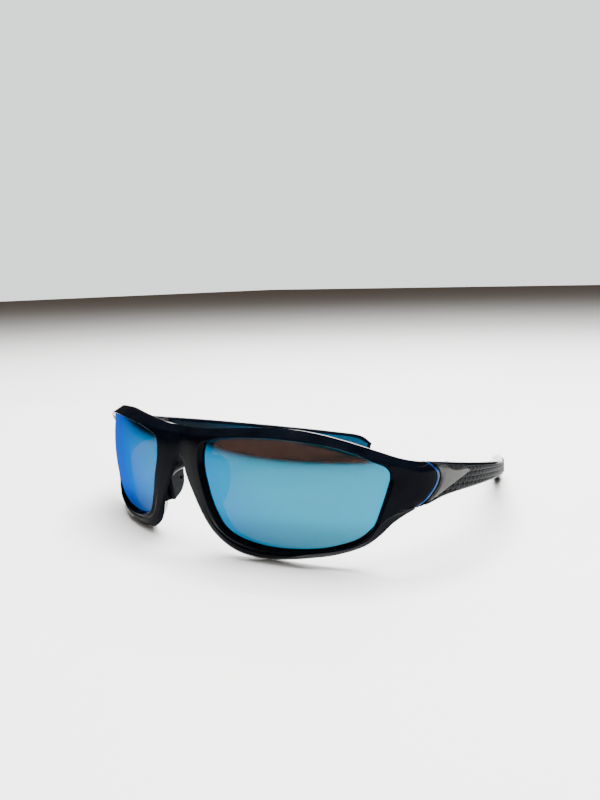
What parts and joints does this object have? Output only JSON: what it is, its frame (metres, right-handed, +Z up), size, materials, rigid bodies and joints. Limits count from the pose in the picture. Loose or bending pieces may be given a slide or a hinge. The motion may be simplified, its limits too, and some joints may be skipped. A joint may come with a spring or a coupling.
{
  "type": "wraparound sport sunglasses",
  "caption": "Full-rim wraparound sport sunglasses with two curved mirrored lenses, nose pads and textured arms that fold on steel hinges.",
  "frame": {"origin": "bottom centre of the open pair's bounding box, on the table that the rims and arm tips rest on", "axes": "+Z up, the front faces -Y, +X towards the wearer's left"},
  "size_m": [0.1474, 0.1441, 0.0415],
  "materials": {
    "frame_gloss_black": "moulded, polished to a high gloss",
    "lens_blue_mirror": "brown tinted lens with a blue mirror coating",
    "pad_rubber": "soft matt rubber",
    "accent_blue": "glossy inlay",
    "hinge_steel": "blanked and rolled steel",
    "screw_steel": "slotted small screws",
    "temple_gloss_black": "moulded, satin to gloss",
    "grip_charcoal": "raised overlapping scale texture",
    "liner_blue": "satin coloured inner face",
    "badge_gunmetal": "fine grained gunmetal paint, no text"
  },
  "bodies": {
    "front": {"front_frame": "frame_gloss_black", "lens_left": "lens_blue_mirror", "nose_pad_left": "pad_rubber", "accent_strip_left": "accent_blue", "hinge_front_leaf_left": "hinge_steel", "hinge_screw_left": "screw_steel", "front_leaf_screws_left": "screw_steel", "lens_right": "lens_blue_mirror", "nose_pad_right": "pad_rubber", "accent_strip_right": "accent_blue", "hinge_front_leaf_right": "hinge_steel", "hinge_screw_right": "screw_steel", "front_leaf_screws_right": "screw_steel"},
    "arm_left": {"hinge_rear_leaf_left": "hinge_steel", "rear_leaf_screws_left": "screw_steel", "temple_shell_left": "temple_gloss_black", "temple_grip_left": "grip_charcoal", "temple_liner_left": "liner_blue", "badge_plate_left": "badge_gunmetal"},
    "arm_right": {"hinge_rear_leaf_right": "hinge_steel", "rear_leaf_screws_right": "screw_steel", "temple_shell_right": "temple_gloss_black", "temple_grip_right": "grip_charcoal", "temple_liner_right": "liner_blue", "badge_plate_right": "badge_gunmetal"}
  },
  "joints": [
    {"name": "fold_left", "type": "hinge", "parent": "front", "child": "arm_left", "pos_m": [0.067, -0.0339, 0.0249], "axis": [0, 0, 1], "range_deg": [0, 80]},
    {"name": "fold_right", "type": "hinge", "parent": "front", "child": "arm_right", "pos_m": [-0.067, -0.0339, 0.0249], "axis": [0, 0, -1], "range_deg": [0, 66]}
  ]
}
